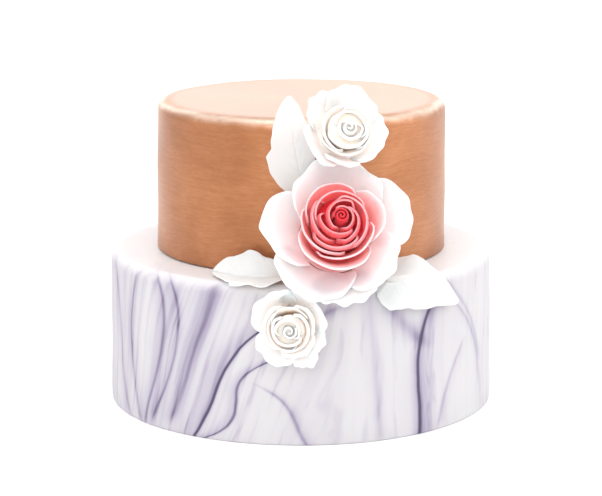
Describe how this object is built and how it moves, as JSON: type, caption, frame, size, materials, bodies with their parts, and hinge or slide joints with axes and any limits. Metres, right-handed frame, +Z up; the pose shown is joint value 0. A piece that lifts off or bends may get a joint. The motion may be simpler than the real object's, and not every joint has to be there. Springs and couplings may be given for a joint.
{
  "type": "tiered wedding cake",
  "caption": "Round two-tier wedding cake, uncut: marbled lower tier, smaller metallic copper upper tier, a pink sugar rose with smaller ivory roses and white leaves",
  "frame": {"origin": "centre of the cake's round base, on the surface it stands on", "axes": "+Z up along the axis of both round tiers, -Y towards the front that carries the flowers, +X to the right seen from the front"},
  "size_m": [0.21, 0.2298, 0.1814],
  "materials": {
    "marbled_icing": "smooth rolled sugar paste, white marbled with grey and violet, soft satin",
    "copper_lustre": "edible copper lustre brushed over sugar paste, satin metallic with fine brush marks",
    "deep_pink_paste": "dusted sugar paste petals, deep coral pink, matt",
    "blush_paste": "dusted sugar paste petals, white flushed with pink, matt",
    "ivory_paste": "sugar paste petals, ivory white, matt",
    "white_paste": "sugar paste leaves with pressed veins, white, matt"
  },
  "bodies": {
    "root": {"lower_tier": "marbled_icing", "upper_tier": "copper_lustre", "pink_rose_bud": "deep_pink_paste", "pink_rose_petal_01": "deep_pink_paste", "pink_rose_petal_02": "deep_pink_paste", "pink_rose_petal_03": "deep_pink_paste", "pink_rose_petal_04": "deep_pink_paste", "pink_rose_petal_05": "deep_pink_paste", "pink_rose_petal_06": "deep_pink_paste", "pink_rose_petal_07": "deep_pink_paste", "pink_rose_petal_08": "deep_pink_paste", "pink_rose_petal_09": "deep_pink_paste", "pink_rose_petal_10": "blush_paste", "pink_rose_petal_11": "blush_paste", "pink_rose_petal_12": "blush_paste", "pink_rose_petal_13": "blush_paste", "pink_rose_petal_14": "blush_paste", "pink_rose_petal_15": "blush_paste", "pink_rose_petal_16": "blush_paste", "pink_rose_petal_17": "blush_paste", "pink_rose_petal_18": "blush_paste", "pink_rose_petal_19": "blush_paste", "upper_rose_bud": "ivory_paste", "upper_rose_petal_01": "ivory_paste", "upper_rose_petal_02": "ivory_paste", "upper_rose_petal_03": "ivory_paste", "upper_rose_petal_04": "ivory_paste", "upper_rose_petal_05": "ivory_paste", "upper_rose_petal_06": "ivory_paste", "upper_rose_petal_07": "ivory_paste", "upper_rose_petal_08": "ivory_paste", "upper_rose_petal_09": "ivory_paste", "upper_rose_petal_10": "ivory_paste", "upper_rose_petal_11": "ivory_paste", "lower_rose_bud": "ivory_paste", "lower_rose_petal_01": "ivory_paste", "lower_rose_petal_02": "ivory_paste", "lower_rose_petal_03": "ivory_paste", "lower_rose_petal_04": "ivory_paste", "lower_rose_petal_05": "ivory_paste", "lower_rose_petal_06": "ivory_paste", "lower_rose_petal_07": "ivory_paste", "lower_rose_petal_08": "ivory_paste", "lower_rose_petal_09": "ivory_paste", "lower_rose_petal_10": "ivory_paste", "lower_rose_petal_11": "ivory_paste", "lower_rose_petal_12": "ivory_paste", "lower_rose_petal_13": "ivory_paste", "upper_leaf": "white_paste", "left_leaf": "white_paste", "right_leaf": "white_paste"}
  },
  "joints": []
}
